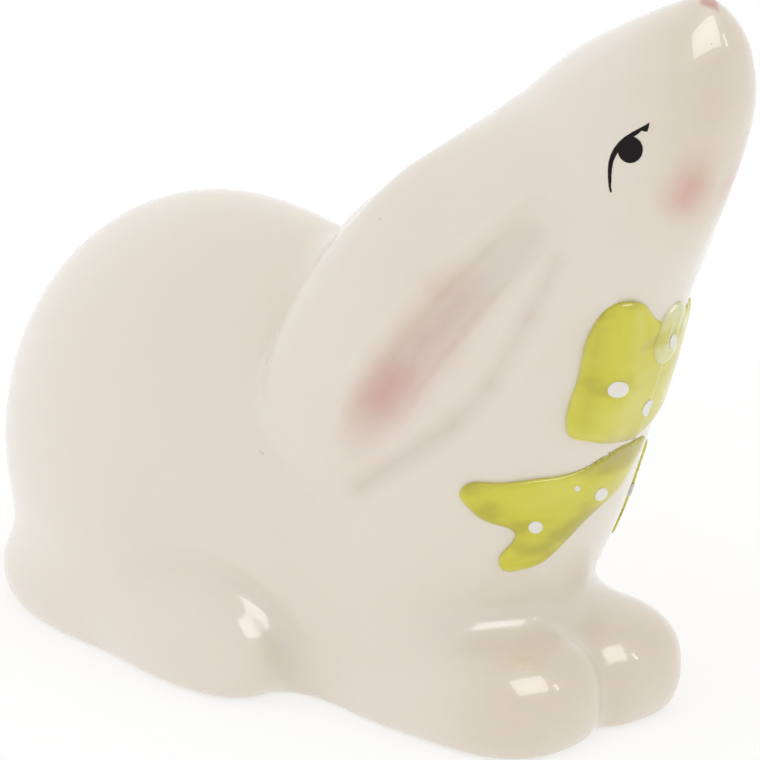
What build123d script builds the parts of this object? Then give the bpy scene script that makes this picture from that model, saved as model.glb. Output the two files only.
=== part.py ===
from build123d import *
import os
from math import copysign, cos, pi, radians, sin

# Glazed ceramic rabbit, lying down with its head raised, with a bow at the throat.
#
# Frame: +X the way the rabbit faces, +Y its left side, +Z up, and the ground at Z = 0,
# with the origin below the middle of its length. All lengths are millimetres.
# Paired pieces are drawn on the right side and mirrored in the XZ plane.
#
# The figure is slip cast: two hollow castings, body and head, meet in a slip joint
# at the neck. Ears, feet, tail and bow are pressed solid and stuck on with slip,
# so each of them is seated face to face on the castings.

# Castings
overall_length = 128.6
wall = 3.2
base_thickness = 3.6
neck_joint_height = 71.0
vent_radius = 4.0
oval_points = 12
quarter_turn = 90.0

# Tail: a small ball on the rump, the rearmost thing on the figure
tail_depth = 11.0
tail_width = 12.0
tail_height = 12.0
tail_axis_height = 14.0
tail_overhang = 1.1

# Haunches: an egg on its side, about an axis along X
haunch_axis_height = 24.0
haunch_rise = 39.0
haunch_rear_reach = 38.0
haunch_half_width = 24.0
haunch_x = haunch_rear_reach + tail_overhang - overall_length / 2
vent_ahead = 5.2
vent_x = haunch_x + vent_ahead

# Seat: the haunches spread out at the ground
seat_length = 66.0
seat_width = 36.0
seat_height = 19.0
seat_axis_height = 4.3
seat_x = (seat_length - overall_length) / 2

# Forequarters, neck and head: level slices from the ground to the nose
fore_depth = 72.0
fore_half_width = 19.8
fore_height = 111.0
fore_back_x = overall_length / 2 - fore_depth
# How far the haunches reach into the forequarters
haunch_overlap = 30.5
haunch_fore_reach = fore_back_x + haunch_overlap - haunch_x
# Each slice: height, back, front and half width, as shares of the three sizes above
fore_slice_shares = (
    (0.000, 0.020, 0.486, 0.800),
    (0.090, 0.005, 0.515, 0.900),
    (0.180, 0.000, 0.575, 0.955),
    (0.270, 0.000, 0.645, 0.990),
    (0.360, 0.000, 0.702, 1.000),
    (0.450, 0.000, 0.760, 0.970),
    (0.540, 0.010, 0.811, 0.920),
    (0.620, 0.095, 0.853, 0.865),
    (0.690, 0.240, 0.905, 0.810),
    (0.755, 0.385, 0.948, 0.750),
    (0.815, 0.485, 0.983, 0.690),
    (0.865, 0.562, 1.000, 0.625),
    (0.910, 0.650, 1.000, 0.520),
    (0.945, 0.738, 0.989, 0.390),
    (0.972, 0.813, 0.967, 0.250),
    (0.990, 0.868, 0.942, 0.125),
    (0.998, 0.889, 0.922, 0.055),
)

# Front paws, side by side under the chest
paw_length = 34.0
paw_width = 20.4
paw_height = 18.6
paw_place_share = 0.465
paw_x = fore_back_x + paw_place_share * fore_depth
paw_spread = 10.0
paw_axis_height = 6.4

# Hind feet, half sunk in the haunches
hind_foot_length = 38.0
hind_foot_width = 16.8
hind_foot_height = 22.4
hind_foot_ahead = 4.2
hind_foot_x = haunch_x + hind_foot_ahead
hind_foot_spread = 17.2
hind_foot_axis_height = 9.6
hind_foot_turn_out = 12.0

# Ears: broad lobes laid back from the crown over the neck and shoulders
ear_root_place_share = 0.76
ear_root_height_share = 0.833
ear_root_x = fore_back_x + ear_root_place_share * fore_depth
ear_root_height = ear_root_height_share * fore_height
ear_length = 75.0
ear_slope = 53.0
ear_half_width = 18.6
ear_splay = 15.4
ear_half_thickness = 7.6
ear_fullness = 1.4
# Each oval: place along the ear, rear and front edge, splay and half thickness, as shares
# of the ear's length, half width, splay and half thickness
ear_oval_shares = (
    (0.067, -0.27, 0.32, 0.43, 0.45),
    (0.147, -0.48, 0.56, 0.56, 0.66),
    (0.240, -0.73, 0.73, 0.68, 0.82),
    (0.360, -0.91, 0.83, 0.78, 0.92),
    (0.480, -0.98, 0.85, 0.84, 0.97),
    (0.600, -1.00, 0.82, 0.88, 1.00),
    (0.720, -0.99, 0.72, 0.89, 1.00),
    (0.813, -0.95, 0.60, 0.88, 0.99),
    (0.893, -0.85, 0.48, 0.90, 0.91),
    (0.953, -0.72, 0.33, 0.93, 0.74),
    (0.991, -0.53, 0.11, 0.97, 0.47),
    (1.000, -0.43, 0.00, 0.98, 0.30),
)
# The hollow of the ear: its two ends, along, across and out, by the ear's length, width and splay
ear_hollow_low_shares = (0.728, -0.11, 1.45)
ear_hollow_high_shares = (0.275, -0.24, 1.32)
ear_hollow_width = 10.0
ear_hollow_depth = 2.5

# Bow: the knot, two loops and two forked tails on the throat, square to one slanting view
knot_depth = 7.0
knot_width = 9.0
knot_height = 10.0
knot_place_share = 0.815
knot_height_share = 0.545
knot_x = fore_back_x + knot_place_share * fore_depth
knot_axis_height = knot_height_share * fore_height
bow_turn = 41.0
bow_tilt = 19.4
loop_relief = 1.9
loop_reach = 13.0
loop_drop = 14.5
# Outline of a loop, outwards and down from the knot, as shares of its reach and drop
loop_outline_shares = (
    (0.06, -0.18),
    (0.29, -0.34),
    (0.58, -0.28),
    (0.71, -0.12),
    (0.81, 0.08),
    (0.96, 0.61),
    (1.00, 0.80),
    (0.96, 0.94),
    (0.62, 1.00),
    (0.17, 0.90),
    (0.04, 0.62),
    (-0.05, 0.30),
    (-0.09, 0.00),
)
bow_tail_relief = 1.1
bow_tail_reach = 27.5
bow_tail_drop = 31.8
# Outline of a tail, outwards and down from the knot, as shares of its reach and drop
bow_tail_root_share = (0.02, 0.39)
bow_tail_top_shares = ((0.24, 0.49), (0.45, 0.585), (0.62, 0.607), (0.86, 0.623), (0.99, 0.66))
bow_tail_fork_shares = ((0.96, 0.73), (0.85, 0.795), (0.72, 0.85))
bow_tail_prong_shares = ((0.755, 0.90), (0.805, 0.965), (0.70, 1.0), (0.60, 0.97))
bow_tail_low_shares = ((0.50, 0.90), (0.39, 0.81), (0.295, 0.745), (0.19, 0.65), (0.11, 0.56))


def oval(half_depth, half_width, fullness=1.0):
    """Points round an oval about the sketch's origin, from its front; squarer above fullness 1."""
    points = []
    for step in range(oval_points):
        forward = cos(2 * pi * step / oval_points)
        across = sin(2 * pi * step / oval_points)
        points.append(
            (
                copysign(half_depth * abs(forward) ** (1 / fullness), forward),
                copysign(half_width * abs(across) ** (1 / fullness), across),
            )
        )
    return points


def fore_form(growth):
    """Chest, neck and head as one solid, grown outwards (or inwards) by a thickness."""
    with BuildPart() as form:
        for height, back, front, half_width in fore_slice_shares:
            half_depth = (front - back) * fore_depth / 2 + growth
            half_across = half_width * fore_half_width + growth
            if min(half_depth, half_across) < -growth / 2:
                continue
            middle = fore_back_x + (front + back) * fore_depth / 2
            with BuildSketch(Plane((middle, 0, height * fore_height))):
                with BuildLine():
                    Spline(*oval(half_depth, half_across), periodic=True)
                make_face()
        loft()
    return form.part


def haunch_form(growth):
    """Haunches as one solid, grown outwards (or inwards) by a thickness."""
    rise = haunch_rise + growth
    fore_reach = haunch_fore_reach + growth
    rear_reach = haunch_rear_reach + growth
    with BuildPart() as form:
        with BuildSketch(Plane((haunch_x, 0, haunch_axis_height))):
            with BuildLine():
                EllipticalCenterArc((0, 0), fore_reach, rise, 0, arc_size=quarter_turn)
                EllipticalCenterArc((0, 0), rear_reach, rise, quarter_turn, arc_size=quarter_turn)
                Line((-rear_reach, 0), (fore_reach, 0))
            make_face()
        revolve(axis=Axis((0, 0, haunch_axis_height), (1, 0, 0)))
        scale(by=(1, (haunch_half_width + growth) / rise, 1))
    return form.part


def egg(length, width, height):
    """A rounded lump about the origin, by its three full sizes."""
    with BuildPart() as form:
        Sphere(height / 2)
        scale(by=(length / height, width / height, 1))
    return form.part


with BuildPart() as half_figure:
    add(fore_form(0))
    add(haunch_form(0))
    add(Location((seat_x, 0, seat_axis_height)) * egg(seat_length, seat_width, seat_height))
    split(bisect_by=Plane.XY, keep=Keep.TOP)
    split(bisect_by=Plane.XZ, keep=Keep.TOP)

with BuildPart() as cavity:
    add(fore_form(-wall))
    add(haunch_form(-wall))
    split(bisect_by=Plane.XY.offset(base_thickness), keep=Keep.TOP)

with BuildPart() as half_shell:
    add(half_figure.part)
    add(cavity.part, mode=Mode.SUBTRACT)

with BuildPart() as figure:
    add(half_figure.part)
    mirror(about=Plane.XZ)

with BuildPart() as body_casting:
    add(half_shell.part)
    split(bisect_by=Plane.XY.offset(neck_joint_height), keep=Keep.BOTTOM)
    mirror(about=Plane.XZ)
    with Locations((vent_x, 0, 0)):
        Cylinder(vent_radius, 2 * base_thickness, mode=Mode.SUBTRACT)

with BuildPart() as head_casting:
    add(half_shell.part)
    split(bisect_by=Plane.XY.offset(neck_joint_height), keep=Keep.TOP)
    mirror(about=Plane.XZ)

with BuildPart() as tail:
    place = Location(((tail_depth - overall_length) / 2, 0, tail_axis_height))
    add(place * egg(tail_depth, tail_width, tail_height))
    add(figure.part, mode=Mode.SUBTRACT)

with BuildPart() as front_paw:
    add(Location((paw_x, -paw_spread, paw_axis_height)) * egg(paw_length, paw_width, paw_height))
    split(bisect_by=Plane.XY, keep=Keep.TOP)
    split(bisect_by=Plane.XZ, keep=Keep.TOP)
    add(figure.part, mode=Mode.SUBTRACT)

with BuildPart() as hind_foot:
    place = Location((hind_foot_x, -hind_foot_spread, hind_foot_axis_height), (0, 0, -hind_foot_turn_out))
    add(place * egg(hind_foot_length, hind_foot_width, hind_foot_height))
    split(bisect_by=Plane.XY, keep=Keep.TOP)
    add(figure.part, mode=Mode.SUBTRACT)

# The ear's ovals stand across its axis, and a hollow is scooped from its outer face
ear_angle = radians(ear_slope)
lengthwise = Vector(-cos(ear_angle), 0, -sin(ear_angle))
widthwise = Vector(sin(ear_angle), 0, -cos(ear_angle))


def ear_point(along_share, across_share, splay_share):
    """A point of the ear, by shares of its length, half width and splay."""
    root = Vector(ear_root_x, -splay_share * ear_splay, ear_root_height)
    return root + along_share * ear_length * lengthwise + across_share * ear_half_width * widthwise


with BuildPart() as ear:
    for place, rear, front, splay, half_thickness in ear_oval_shares:
        middle = ear_point(place, (rear + front) / 2, splay)
        half_across = (front - rear) * ear_half_width / 2
        with BuildSketch(Plane(middle, x_dir=widthwise, z_dir=lengthwise)):
            with BuildLine():
                Spline(*oval(half_across, half_thickness * ear_half_thickness, ear_fullness), periodic=True)
            make_face()
    loft()
    hollow_low = ear_point(*ear_hollow_low_shares)
    hollow_high = ear_point(*ear_hollow_high_shares)
    hollow_line = hollow_high - hollow_low
    hollow_face = hollow_line.cross(Vector(0, 1, 0)).cross(hollow_line)
    hollow_plane = Plane((hollow_high + hollow_low) / 2, x_dir=hollow_line, z_dir=hollow_face)
    hollow = egg(hollow_line.length, ear_hollow_width, 2 * ear_hollow_depth)
    add(hollow_plane.location * hollow, mode=Mode.SUBTRACT)
    add(figure.part, mode=Mode.SUBTRACT)

with BuildPart() as bow_knot:
    add(Location((knot_x, 0, knot_axis_height)) * egg(knot_depth, knot_width, knot_height))
    add(figure.part, mode=Mode.SUBTRACT)

# Loops and tails are the throat's own form, thickened and cut to their outlines
turn = radians(bow_turn)
tilt = radians(bow_tilt)
outward = (sin(turn) * cos(tilt), -cos(turn) * cos(tilt), sin(tilt))
bow_plane = Plane((knot_x, 0, knot_axis_height), x_dir=(cos(turn), sin(turn), 0), z_dir=outward)


def outline_points(shares, reach, drop):
    """Points of an outline, outwards and down from the knot, by shares of a reach and a drop."""
    return [(-outwards * reach, -downwards * drop) for outwards, downwards in shares]


with BuildPart() as bow_loop:
    add(fore_form(loop_relief))
    with BuildSketch(bow_plane):
        with BuildLine():
            Spline(*outline_points(loop_outline_shares, loop_reach, loop_drop), periodic=True)
        make_face()
    extrude(amount=-bow_tail_drop, both=True, mode=Mode.INTERSECT)
    split(bisect_by=Plane.XZ, keep=Keep.TOP)
    add(figure.part, mode=Mode.SUBTRACT)
    add(bow_knot.part, mode=Mode.SUBTRACT)

root_point = outline_points([bow_tail_root_share], bow_tail_reach, bow_tail_drop)
top_points = outline_points(bow_tail_top_shares, bow_tail_reach, bow_tail_drop)
fork_points = outline_points(bow_tail_fork_shares, bow_tail_reach, bow_tail_drop)
low_points = outline_points(bow_tail_prong_shares + bow_tail_low_shares, bow_tail_reach, bow_tail_drop)
with BuildPart() as bow_tail:
    add(fore_form(bow_tail_relief))
    with BuildSketch(bow_plane):
        with BuildLine():
            Spline(*root_point, *top_points)
            Line(top_points[-1], fork_points[0])
            Spline(*fork_points)
            Spline(fork_points[-1], *low_points, *root_point)
        make_face()
    extrude(amount=-bow_tail_drop, both=True, mode=Mode.INTERSECT)
    split(bisect_by=Plane.XZ, keep=Keep.TOP)
    add(figure.part, mode=Mode.SUBTRACT)
    add(bow_loop.part, mode=Mode.SUBTRACT)


def save(part, name):
    """Label a finished piece and write it."""
    part.label = name
    export_step(part, f"parts/{name}.step")


os.makedirs("parts", exist_ok=True)
for name, piece in (
    ("body_casting", body_casting),
    ("head_casting", head_casting),
    ("tail", tail),
    ("bow_knot", bow_knot),
):
    save(piece.part, name)
for name, piece in (
    ("front_paw", front_paw),
    ("hind_foot", hind_foot),
    ("ear", ear),
    ("bow_loop", bow_loop),
    ("bow_tail", bow_tail),
):
    save(piece.part, f"{name}_right")
    save(mirror(piece.part, about=Plane.XZ), f"{name}_left")
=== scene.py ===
import logging
import math
from dataclasses import dataclass
from enum import Enum

import bpy
import numpy as np
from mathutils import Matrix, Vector


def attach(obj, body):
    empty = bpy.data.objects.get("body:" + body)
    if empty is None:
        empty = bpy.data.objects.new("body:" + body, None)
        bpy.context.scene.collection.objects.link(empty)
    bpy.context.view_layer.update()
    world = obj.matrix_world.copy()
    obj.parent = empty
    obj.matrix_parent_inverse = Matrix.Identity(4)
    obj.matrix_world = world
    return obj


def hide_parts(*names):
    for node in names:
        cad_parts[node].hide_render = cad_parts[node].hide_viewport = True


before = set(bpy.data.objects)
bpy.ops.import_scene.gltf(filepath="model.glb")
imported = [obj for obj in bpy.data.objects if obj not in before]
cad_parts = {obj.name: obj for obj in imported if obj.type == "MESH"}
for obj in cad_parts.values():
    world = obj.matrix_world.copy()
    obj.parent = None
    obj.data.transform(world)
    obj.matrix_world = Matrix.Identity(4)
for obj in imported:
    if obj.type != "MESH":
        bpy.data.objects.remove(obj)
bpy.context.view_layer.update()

LOG = logging.getLogger("ceramic_rabbit")
MM = 0.001  # a millimetre in metres
PICTURE = 760  # width and height of the photograph, in pixels
PROBE = 0.02  # how far apart a slope is felt out, in mm
TINY, SMALL = 1e-9, 1e-6  # keep a division from a zero
NOISE = ("Vector", "Scale", "Detail", "Roughness")  # inputs of a cloudy pattern
RIPPLE = (0.11, 2.0, 0.45)  # scale per mm, detail and roughness of every glaze's waves

Array = np.ndarray
Node = bpy.types.Node
Socket = bpy.types.NodeSocket
Tree = bpy.types.NodeTree
Material = bpy.types.Material
Pair = tuple[float, float]
Point = tuple[float, float, float]
Four = tuple[float, float, float, float]
Five = tuple[float, float, float, float, float]


# Tools for rounded forms


def spline_table(stations: Array, values: Array, samples: int) -> tuple[Array, Array]:
    """Sample a natural cubic spline through some stations.

    Args:
        stations: Rising places of the values, shape (n,).
        values: One row of values for each station, shape (n, k).
        samples: How many places to sample.

    Returns:
        The sampled places and the rows of values there.
    """
    count = len(stations)
    steps = np.diff(stations)
    slopes = np.diff(values, axis=0) / steps[:, None]
    system = np.eye(count)
    right = np.zeros_like(values)
    for row in range(1, count - 1):
        before, after = steps[row - 1], steps[row]
        system[row, row - 1 : row + 2] = before, 2 * (before + after), after
        right[row] = 6 * (slopes[row] - slopes[row - 1])
    bends = np.linalg.solve(system, right)
    places = np.linspace(stations[0], stations[-1], samples)
    span = np.clip(np.searchsorted(stations, places) - 1, 0, count - 2)
    step = steps[span][:, None]
    after = (places - stations[span])[:, None]
    before = step - after
    rows = (
        bends[span] * before**3 / (6 * step)
        + bends[span + 1] * after**3 / (6 * step)
        + (values[span] / step - bends[span] * step / 6) * before
        + (values[span + 1] / step - bends[span + 1] * step / 6) * after
    )
    return places, rows


def smooth_line(points: Array, samples: int) -> Array:
    """Run a smooth line through some points.

    Args:
        points: The points, one in each row, with any further columns carried along.
        samples: How many rows to return.

    Returns:
        Evenly numbered rows along the line.
    """
    rows = np.asarray(points, dtype=float)
    gaps = np.linalg.norm(np.diff(rows[:, :3], axis=0), axis=1)
    stations = np.concatenate([[0.0], np.cumsum(np.maximum(gaps, PROBE))])
    return spline_table(stations, rows, samples)[1]


def blend(first: Array, second: Array, width: float) -> Array:
    """Join two forms with a soft fillet.

    Args:
        first: Distances to one form.
        second: Distances to the other.
        width: How far apart the two may be and still flow together, in mm.

    Returns:
        Distances to the joined form.
    """
    share = np.clip(width - np.abs(first - second), 0, None) / width
    return np.minimum(first, second) - share * share * width / 4


def trim(first: Array, second: Array, width: float) -> Array:
    """Keep what lies inside both forms, with a rounded edge of the given width."""
    return -blend(-first, -second, width)


class Form:
    """A solid told by its distance: below zero inside, above zero outside, in mm."""

    def distance(self, points: Array) -> Array:
        """Give the distance of each point, one in each row, from the surface."""
        raise NotImplementedError

    def slope(self, points: Array, distances: Array) -> Array:
        """Work out which way the distance grows.

        Args:
            points: Points in mm, one in each row.
            distances: The distances already found there.

        Returns:
            The gradient at each point.
        """
        columns = []
        for axis in range(3):
            moved = points.copy()
            moved[:, axis] += PROBE
            columns.append((self.distance(moved) - distances) / PROBE)
        return np.stack(columns, axis=1)

    def settle(self, points: Array, longest: float, steps: int = 3) -> Array:
        """Bring points onto the surface.

        Args:
            points: Points near the surface, one in each row.
            longest: The longest move in one step, in mm.
            steps: How many times they are brought nearer.

        Returns:
            The points on the surface.
        """
        least = 0.1  # a slope below this would send a point too far
        for _ in range(steps):
            distances = self.distance(points)
            slope = self.slope(points, distances)
            steep = np.maximum(np.linalg.norm(slope, axis=1), least)[:, None]
            move = np.clip(distances[:, None] / steep, -longest, longest)
            points = points - slope / steep * move
        return points


@dataclass
class Egg(Form):
    """A rounded lump, which may be longer in front than behind.

    Attributes:
        middle: Its middle.
        fore: Half its size forwards.
        rear: Half its size backwards.
        side: Half its width.
        rise: Half its height.
        turn_out: How far its front is turned out from straight ahead, in degrees.
        fullness: 1 for an ellipsoid, and squarer above that.
    """

    middle: Point
    fore: float
    rear: float
    side: float
    rise: float
    turn_out: float = 0.0
    fullness: float = 1.0

    def distance(self, points: Array) -> Array:
        """Give the distance of each point from the surface.

        Args:
            points: Points in mm, one in each row.

        Returns:
            The distances, below zero inside.
        """
        angle = math.radians(self.turn_out)
        apart = points - np.array(self.middle)
        ahead = apart[:, 0] * math.cos(angle) - apart[:, 1] * math.sin(angle)
        across = apart[:, 0] * math.sin(angle) + apart[:, 1] * math.cos(angle)
        reach = np.where(ahead > 0, self.fore, self.rear)
        sizes = np.stack([reach, np.full_like(reach, self.side), np.full_like(reach, self.rise)], axis=1)
        shares = np.abs(np.stack([ahead, across, apart[:, 2]], axis=1)) / sizes
        power = 2 * self.fullness
        near = np.maximum((shares**power).sum(axis=1), TINY) ** (1 / power)
        slopes = shares ** (power - 1) / sizes * (near ** (1 - power))[:, None]
        steep = np.maximum(np.linalg.norm(slopes, axis=1), SMALL)
        return (near - 1) / steep


@dataclass
class Stack(Form):
    """Ovals stacked along a straight axis and lofted into one smooth solid.

    Attributes:
        start: Where the axis starts.
        axis: The way the stack grows.
        wide: The way of each oval's first size.
        thick: The way of each oval's second size.
        ovals: For each oval its place along the axis, its low and high edge along wide,
            its middle along thick and its half size along thick.
        fullness: 1 for ellipses, and squarer ovals above that.
        samples: How many places of the axis are tabulated.
    """

    start: Point
    axis: Point
    wide: Point
    thick: Point
    ovals: Array
    fullness: float = 1.0
    samples: int = 900

    def __post_init__(self) -> None:
        """Tabulate the middle lines and the squared half sizes along the axis."""
        rows = np.asarray(self.ovals, dtype=float)
        values = np.stack(
            [
                (rows[:, 1] + rows[:, 2]) / 2,
                ((rows[:, 2] - rows[:, 1]) / 2) ** 2,
                rows[:, 3],
                rows[:, 4] ** 2,
            ],
            axis=1,
        )
        self.places, self.table = spline_table(rows[:, 0], values, self.samples)
        self.changes = np.gradient(self.table, self.places, axis=0)

    def distance(self, points: Array) -> Array:
        """Give the distance of each point from the surface.

        Args:
            points: Points in mm, one in each row.

        Returns:
            The distances, below zero inside.
        """
        smallest = 0.04  # least square of a half size, in mm²
        steepest = 4.0  # most that the axis may count against the sides
        least = 0.4  # keeps the distance sound near the axis
        apart = points - np.array(self.start)
        along = apart @ np.array(self.axis)
        columns = [np.interp(along, self.places, self.table[:, column]) for column in range(4)]
        changes = [np.interp(along, self.places, self.changes[:, column]) for column in range(4)]
        wide_square = np.maximum(columns[1], smallest)
        thick_square = np.maximum(columns[3], smallest)
        wide_half = np.sqrt(wide_square)
        thick_half = np.sqrt(thick_square)
        across = (apart @ np.array(self.wide) - columns[0]) / wide_half
        through = (apart @ np.array(self.thick) - columns[2]) / thick_half
        power = 2 * self.fullness
        wide_share = np.abs(across) ** power
        thick_share = np.abs(through) ** power
        near = np.maximum(wide_share + thick_share, TINY) ** (1 / power)
        by_wide = wide_share / np.maximum(np.abs(across), SMALL) * near ** (1 - power)
        by_thick = thick_share / np.maximum(np.abs(through), SMALL) * near ** (1 - power)
        across_change = -changes[0] / wide_half * np.sign(across)
        across_change -= np.abs(across) * changes[1] / (2 * wide_square)
        through_change = -changes[2] / thick_half * np.sign(through)
        through_change -= np.abs(through) * changes[3] / (2 * thick_square)
        by_axis = by_wide * across_change + by_thick * through_change
        sideways = np.hypot(by_wide / wide_half, by_thick / thick_half)
        steep = np.hypot(sideways, np.clip(by_axis, -steepest * sideways, steepest * sideways))
        steep = np.maximum(steep, least / np.maximum(wide_half, thick_half))
        side = (near - 1) / steep
        ends = np.maximum(self.places[0] - along, along - self.places[-1])
        return np.maximum(side, ends)


@dataclass
class Stroke:
    """A soft ridge or groove pressed along a line.

    Attributes:
        line: Points of the line, each with its height above the surface (below zero for
            a groove) and the width of the mark, all in mm.
        weights: How much a distance along X, Y and Z counts.
        spans: How many straight spans stand for the smooth line.
    """

    line: tuple[Five, ...]
    weights: Point = (1.0, 0.3, 1.0)
    spans: int = 28

    def __post_init__(self) -> None:
        """Run the smooth line through the points."""
        self.rows = smooth_line(np.array(self.line), self.spans + 1)

    def height(self, points: Array) -> Array:
        """Give the height that the mark adds at each point.

        Args:
            points: Points in mm, one in each row.

        Returns:
            The added height, below zero in a groove.
        """
        weights = np.array(self.weights)
        best = np.full(len(points), np.inf)
        heights = np.zeros(len(points))
        widths = np.ones(len(points))
        for first, second in zip(self.rows[:-1], self.rows[1:]):
            way = (second[:3] - first[:3]) * weights
            apart = (points - first[:3]) * weights
            share = np.clip(apart @ way / (way @ way), 0, 1)
            gap = ((apart - share[:, None] * way) ** 2).sum(axis=1)
            nearer = gap < best
            best = np.where(nearer, gap, best)
            heights = np.where(nearer, first[3] + share * (second[3] - first[3]), heights)
            widths = np.where(nearer, first[4] + share * (second[4] - first[4]), widths)
        return heights * np.exp(-best / widths**2)


@dataclass
class Outline:
    """A closed outline in a plane, tabulated as the distance from its edge.

    Attributes:
        points: Corner points of the outline, in mm.
        softness: How much the corners are rounded, in mm.
        pitch: How far apart the tabulated places are, in mm.
        margin: How far the table reaches beyond the outline, in mm.
    """

    points: Array
    softness: float = 0.3
    pitch: float = 0.15
    margin: float = 4.0

    def __post_init__(self) -> None:
        """Tabulate the signed distance on a square net and soften it."""
        low = self.points.min(axis=0) - self.margin
        high = self.points.max(axis=0) + self.margin
        self.low = low
        across = np.arange(low[0], high[0], self.pitch)
        up = np.arange(low[1], high[1], self.pitch)
        net_across, net_up = np.meshgrid(across, up, indexing="ij")
        gap = np.full(net_across.shape, np.inf)
        inside = np.zeros(net_across.shape, dtype=bool)
        for first, second in zip(self.points, np.roll(self.points, -1, axis=0)):
            way = second - first
            length = max(way @ way, TINY)
            beside, above = net_across - first[0], net_up - first[1]
            share = np.clip((beside * way[0] + above * way[1]) / length, 0, 1)
            gap = np.minimum(gap, (beside - share * way[0]) ** 2 + (above - share * way[1]) ** 2)
            crosses = (net_up < first[1]) != (net_up < second[1])
            if abs(way[1]) > TINY:
                at = first[0] + above / way[1] * way[0]
                inside ^= crosses & (net_across < at)
        table = np.sqrt(gap) * np.where(inside, -1, 1)
        reach = max(int(3 * self.softness / self.pitch), 1)
        bell = np.exp(-((np.arange(-reach, reach + 1) * self.pitch / self.softness) ** 2) / 2)
        bell /= bell.sum()
        for axis in (0, 1):
            table = np.apply_along_axis(
                lambda row: np.convolve(np.pad(row, reach, mode="edge"), bell, mode="valid"), axis, table
            )
        self.table = table

    def distance(self, across: Array, up: Array) -> Array:
        """Give the distance from the edge, below zero inside.

        Args:
            across: First coordinate of each place.
            up: Second coordinate of each place.

        Returns:
            The distances in mm.
        """
        last = 1.001  # from the end of the table to the last place with one after it
        rows, columns = self.table.shape
        first = np.clip((across - self.low[0]) / self.pitch, 0, rows - last)
        second = np.clip((up - self.low[1]) / self.pitch, 0, columns - last)
        row = first.astype(int)
        column = second.astype(int)
        rest_row = first - row
        rest_column = second - column
        return (
            self.table[row, column] * (1 - rest_row) * (1 - rest_column)
            + self.table[row + 1, column] * rest_row * (1 - rest_column)
            + self.table[row, column + 1] * (1 - rest_row) * rest_column
            + self.table[row + 1, column + 1] * rest_row * rest_column
        )


@dataclass
class Pad(Form):
    """A pad of clay laid on another form, with rounded edges.

    Attributes:
        carrier: The form it lies on.
        outline: Its outline, seen along the facing.
        middle: The point that the outline is measured from.
        across: The way of the outline's first coordinate.
        up: The way of its second.
        facing: The way it faces.
        thickness: How far it stands above the carrier.
        rounding: How far in from the edge it starts to fall.
        sunk: How far it reaches into the carrier.
        depth: How far back from the middle it may lie.
        depth_front: How far in front of the middle it may lie.
        fullness: 1 for an elliptical edge, and squarer above that.
        stop: Where it stops beyond the middle plane, in mm.
        middle_share: How thick it is at the middle plane, as a share.
        middle_reach: How far from the middle plane it has its full thickness.
        strokes: Folds pressed into it, by the outline's coordinates.
    """

    carrier: Form
    outline: Outline
    middle: Point
    across: Array
    up: Array
    facing: Array
    thickness: float
    rounding: float
    sunk: float = 0.4
    depth: float = 30.0
    depth_front: float = 8.0
    fullness: float = 1.2
    stop: float = 0.0
    middle_share: float = 1.0
    middle_reach: float = 8.0
    strokes: tuple[Stroke, ...] = ()

    def distance(self, points: Array) -> Array:
        """Give the distance of each point from the surface.

        Args:
            points: Points in mm, one in each row.

        Returns:
            The distances, below zero inside.
        """
        apart = points - np.array(self.middle)
        edge = self.outline.distance(apart @ self.across, apart @ self.up)
        above = self.carrier.distance(points)
        if self.strokes:
            flat = np.column_stack([apart @ self.across, apart @ self.up, np.zeros(len(points))])
            above = above - sum(stroke.height(flat) for stroke in self.strokes)
        power = 2 * self.fullness
        inward = np.clip(edge + self.rounding, 0, None) / self.rounding
        aside = np.clip(np.abs(points[:, 1]) / self.middle_reach, 0, 1)
        share = self.middle_share + (1 - self.middle_share) * aside * aside * (3 - 2 * aside)
        height = self.thickness * share
        upward = np.clip(above, 0, None) / height
        near = np.maximum(inward**power + upward**power, TINY) ** (1 / power)
        gap = (near - 1) * np.minimum(self.rounding, height)
        behind = -apart @ self.facing - self.depth
        beyond = np.maximum(behind, points[:, 1] - self.stop)
        return np.maximum(np.maximum(gap, -above - self.sunk), beyond)


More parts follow.
